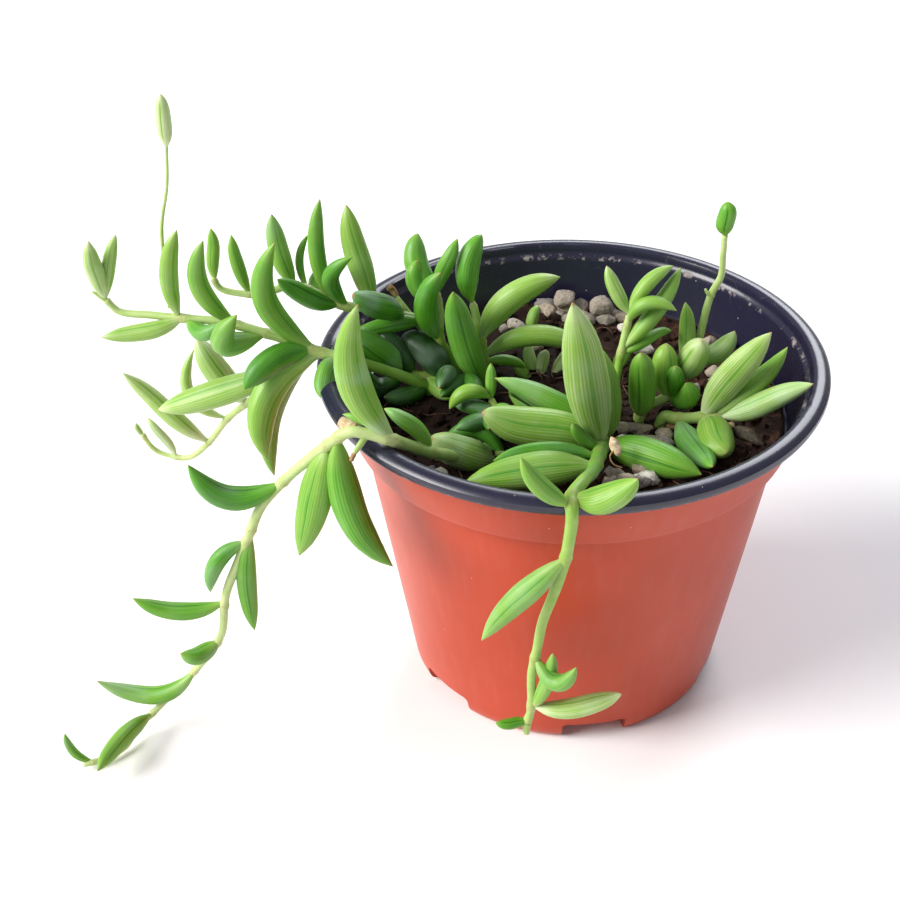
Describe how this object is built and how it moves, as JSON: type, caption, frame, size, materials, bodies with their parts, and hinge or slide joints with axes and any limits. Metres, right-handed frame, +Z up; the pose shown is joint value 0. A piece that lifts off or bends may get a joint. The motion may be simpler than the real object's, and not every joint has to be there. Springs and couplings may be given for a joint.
{
  "type": "potted string of bananas",
  "caption": "Trailing succulent with crescent leaves in a small tapered nursery pot with a rolled rim, stems hanging over the rim",
  "frame": {"origin": "middle of the pot's flat base, on the surface that it stands on", "axes": "+Z up along the pot's axis; -Y towards the side that the long front stem hangs down; -X towards the side with the trailing stems"},
  "size_m": [0.1635, 0.1175, 0.1385],
  "materials": {
    "pot_plastic": "thin satin sheet, terracotta outside and black inside and on the rim",
    "potting_mix": "loose dark brown peat and coco fibre",
    "gravel": "rough dull pumice and grit",
    "leaf": "waxy green flesh with fine lengthwise veins",
    "stem": "smooth waxy yellow green",
    "flower_bud": "waxy green ribbed bracts"
  },
  "bodies": {
    "root": {"back_shoot": "stem", "back_shoot_leaf_1": "leaf", "back_shoot_leaf_2": "leaf", "back_shoot_leaf_3": "leaf", "back_shoot_leaf_4": "leaf", "front_shoot": "stem", "front_shoot_leaf_1": "leaf", "front_shoot_leaf_2": "leaf", "front_shoot_leaf_3": "leaf", "front_shoot_leaf_4": "leaf", "front_shoot_leaf_5": "leaf", "front_shoot_leaf_6": "leaf", "front_shoot_leaf_7": "leaf", "front_shoot_leaf_8": "leaf", "hooked_shoot": "stem", "left_flower_bud": "flower_bud", "left_flower_stalk": "stem", "left_high_shoot": "stem", "left_high_shoot_leaf_1": "leaf", "left_high_shoot_leaf_2": "leaf", "left_low_shoot": "stem", "left_low_shoot_leaf_1": "leaf", "left_low_shoot_leaf_2": "leaf", "left_low_shoot_leaf_3": "leaf", "left_low_shoot_leaf_4": "leaf", "left_low_shoot_leaf_5": "leaf", "left_low_shoot_leaf_6": "leaf", "left_rear_shoot": "stem", "left_rear_shoot_leaf_1": "leaf", "left_rear_shoot_leaf_2": "leaf", "left_trailing_shoot": "stem", "left_trailing_shoot_leaf_1": "leaf", "left_trailing_shoot_leaf_2": "leaf", "left_trailing_shoot_leaf_3": "leaf", "left_trailing_shoot_leaf_4": "leaf", "left_trailing_shoot_leaf_5": "leaf", "middle_shoot": "stem", "middle_shoot_leaf_1": "leaf", "middle_shoot_leaf_2": "leaf", "pebble_1": "gravel", "pebble_2": "gravel", "pebble_3": "gravel", "pot": "pot_plastic", "right_bead_shoot": "stem", "right_bead_shoot_leaf_1": "leaf", "right_bead_shoot_leaf_2": "leaf", "right_bead_shoot_leaf_3": "leaf", "right_flower_bud": "flower_bud", "right_flower_stalk": "stem", "right_low_shoot": "stem", "right_low_shoot_leaf_1": "leaf", "right_low_shoot_leaf_2": "leaf", "right_low_shoot_leaf_3": "leaf", "right_low_shoot_leaf_4": "leaf", "right_low_shoot_leaf_5": "leaf", "right_upright_shoot": "stem", "soil": "potting_mix", "upright_shoot": "stem", "upright_shoot_leaf_1": "leaf", "upright_shoot_leaf_2": "leaf"}
  },
  "joints": []
}
